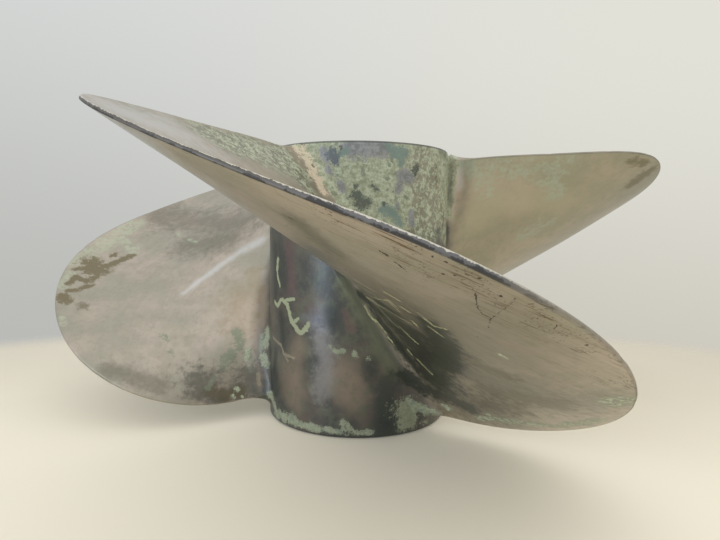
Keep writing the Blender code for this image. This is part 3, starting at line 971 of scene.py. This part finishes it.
def bush_profile():
    """Once round the ring's section: rounded corners, and end faces dished by a squared sine."""
    across = np.linspace(bush_inner_radius + bush_round, bush_outer_radius - bush_round, bush_face_rows)
    across = across[1:-1]
    place = (across - bush_inner_radius) / (bush_outer_radius - bush_inner_radius)
    dish = bush_dish * np.sin(place * math.pi) ** 2
    low = np.stack([across, bush_low + dish], -1)
    high = np.stack([across, bush_high - dish], -1)
    side = np.linspace(bush_low + bush_round, bush_high - bush_round, bush_side_rows)[1:-1]
    outside = np.stack([np.full(side.size, bush_outer_radius), side], -1)
    inside = np.stack([np.full(side.size, bush_inner_radius), side], -1)
    corners = [quarter_round(radius, height, inward, along, bush_round, bush_round_steps)
               for radius, inward in ((bush_inner_radius, 1), (bush_outer_radius, -1))
               for height, along in ((bush_low, 1), (bush_high, -1))]
    inner_low, inner_high, outer_low, outer_high = corners
    loop = np.vstack([
        inner_low[::-1], low, outer_low, outside, outer_high[::-1], high[::-1], inner_high, inside[::-1]])
    return np.vstack([loop, loop[:1]])


bush_turns = np.arange(bush_columns) * math.tau / bush_columns
bush = closed_piece("bush", [(upright(turned_skin(bush_profile(), bush_turns)), True)])
bush.data.set_sharp_from_angle(angle=math.radians(50))
rubber, rubber_shader, here = new_finish("old_rubber")
dust = here.noise(160, 5, 0.65).step(0.42, 0.7)
feed(rubber_shader, "Base Color", dust.between(colour(44, 43, 42), colour(112, 108, 99)))
feed(rubber_shader, "Roughness", here.noise(420, 2).step(0.2, 0.8) * 0.25 + 0.6)
bush.data.materials.append(rubber)
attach(bush, "root")
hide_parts("rubber_bush")


# The splined sleeve
# A bronze tube in the rubber, with thirteen grooves in its bore for the shaft's splines. Its ends stand a
# little out of the rubber, and it is stained by old grease.
sleeve_radius = 0.0172
sleeve_bore_radius = 0.0122
sleeve_low = -0.058
sleeve_high = 0.042
sleeve_chamfer = 0.001
sleeve_bore_chamfer = 0.0005
sleeve_bore_rows = 9
spline_count = 13
spline_depth = 0.0016
groove_width = 0.003
groove_flank = 0.0002
columns_a_spline = 24
sleeve_columns = columns_a_spline * spline_count


def sleeve_rows():
    """Rings round the tube's section. In the bore, the radius grows by the spline's depth at each groove,
    between two steep flanks of a smooth step each."""
    turns = np.arange(sleeve_columns) * math.tau / sleeve_columns
    from_groove = (turns * spline_count / math.tau) % 1 - 0.5
    across = np.abs(from_groove) * math.tau / spline_count * sleeve_bore_radius
    flank = (groove_width / 2 - groove_flank, groove_width / 2 + groove_flank)
    grooves = spline_depth * (1 - smooth_step(*flank, across))
    outside = [quarter_round(sleeve_radius, sleeve_low, -1, 1, sleeve_chamfer, 1),
               quarter_round(sleeve_radius, sleeve_high, -1, -1, sleeve_chamfer, 1)[::-1]]
    chamfer = sleeve_bore_chamfer
    heights = np.linspace(sleeve_high - chamfer, sleeve_low + chamfer, sleeve_bore_rows)
    bore = np.stack([np.full(heights.size, sleeve_bore_radius), heights], -1)
    mouth_radius = sleeve_bore_radius + chamfer
    bore = np.vstack([(mouth_radius, sleeve_high), bore, (mouth_radius, sleeve_low)])
    inner_rows = turned_skin(bore, turns)
    inner_rows[..., 0] += grooves
    rows = np.concatenate([turned_skin(np.vstack(outside), turns), inner_rows])
    return np.concatenate([rows, rows[:1]])


sleeve = closed_piece("sleeve", [(upright(sleeve_rows()), True)])
sleeve.data.set_sharp_from_angle(angle=math.radians(35))
bronze, bronze_shader, here = new_finish("stained_bronze")
stain = here.noise(90, 5, 0.6).step(0.4, 0.66)
bronze_shader.inputs["Metallic"].default_value = 0.9
feed(bronze_shader, "Base Color", stain.between(colour(176, 140, 92), colour(92, 76, 58)))
feed(bronze_shader, "Roughness", stain * 0.3 + 0.32)
sleeve.data.materials.append(bronze)
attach(sleeve, "root")
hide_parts("splined_sleeve")


# The floor and the light
# The propeller stands on a round cream table top in a pale room: a bright wall behind it, a window to the
# left behind the camera, and the dim rest of the room. Under the propeller the table top is painted lighter
# and glows faintly: a painted pool of light that thins the propeller's shadow.
floor_radius = 0.56
floor_centre = (0, -0.27)
floor_gap = 0.0002
floor_height = forward_face - floor_gap
floor_soft_edge = 0.07
floor_columns = 96
floor_rings = np.array([0.0, 0.2, 0.4, 0.5, floor_radius])[:, None]

floor_turns = np.arange(floor_columns) * math.tau / floor_columns
floor_points = np.stack([
    floor_centre[0] + floor_rings * np.cos(floor_turns), floor_centre[1] + floor_rings * np.sin(floor_turns),
    np.full((floor_rings.size, floor_columns), floor_height)], -1)
floor_mesh = bpy.data.meshes.new("floor")
floor_mesh.from_pydata(
    floor_points.reshape(-1, 3), [], grid_faces(floor_rings.size, floor_columns, True).tolist())
floor = bpy.data.objects.new("floor", floor_mesh)
bpy.context.scene.collection.objects.link(floor)
table, table_shader, here = new_finish("cream_table")
from_middle = here.vector("DISTANCE", (0, -0.1, floor_height), 1)
# Painted light: 0 under the propeller, where the table is lighter and glows, and 1 towards the rim.
pale = (from_middle + (here.noise(9, 3) - 0.5) * 0.06).step(0.12, 0.42)
feed(table_shader, "Base Color", pale.between(colour(237, 229, 209), colour(214, 206, 188)))
table_shader.inputs["Roughness"].default_value = 0.6
feed(table_shader, "Emission Color", pale.between(colour(255, 250, 232), (0, 0, 0, 1)))
table_shader.inputs["Emission Strength"].default_value = 0.07
outward = here.vector("DISTANCE", (*floor_centre, floor_height), 1)
feed(table_shader, "Alpha", 1 - outward.step(floor_radius - floor_soft_edge, floor_radius - 0.002))
floor_mesh.materials.append(table)

world = bpy.data.worlds.new("room")
world.use_nodes = True
bpy.context.scene.world = world
room = Field(world.node_tree)
direction = room.node("ShaderNodeTexCoord", output=0)
toward_left = direction.part(0) * -1
toward_back = direction.part(1)
upward = direction.part(2)
low_wall = toward_left.step(-0.5, 0.5).between(colour(198, 194, 182), colour(186, 187, 183))
high_wall = toward_left.step(-0.5, 0.5).between(colour(226, 225, 216), colour(216, 218, 217))
wall = (upward - toward_left * 0.2).step(-0.3, 0.4).between(low_wall, high_wall)
window_side = (upward + toward_left * 0.3).step(-0.3, 0.3)
window_side = window_side.between(colour(190, 188, 182), (1.12, 1.12, 1.1, 1))
around = (toward_back + upward * 0.3).step(-0.3, 0.3).between(window_side, wall)
light = upward.step(0.45, 0.8).between(around, (0.9, 0.9, 0.9, 1))
background = world.node_tree.nodes["Background"]
world.node_tree.links.new(light.socket, background.inputs["Color"])
background.inputs["Strength"].default_value = 1.0

bpy.context.scene.view_settings.view_transform = "Standard"


def soft_light(name, place, aim, size, watts, tint):
    """A rectangle of light of that size, at its place and turned to its aim."""
    lamp = bpy.data.lights.new(name, "AREA")
    lamp.shape = "RECTANGLE"
    lamp.size, lamp.size_y = size
    lamp.energy = watts
    lamp.color = tint[:3]
    holder = bpy.data.objects.new(name, lamp)
    bpy.context.scene.collection.objects.link(holder)
    holder.location = place
    holder.rotation_euler = (Vector(aim) - Vector(place)).to_track_quat("-Z", "Y").to_euler()


soft_light("ceiling", (0.1, -0.5, 1.3), (0, -0.2, 0), (2.6, 2.6), 4.6, colour(255, 248, 236))
soft_light("window", (-0.9, -0.95, 0.25), (0, 0, 0), (0.3, 0.8), 6, colour(206, 224, 255))
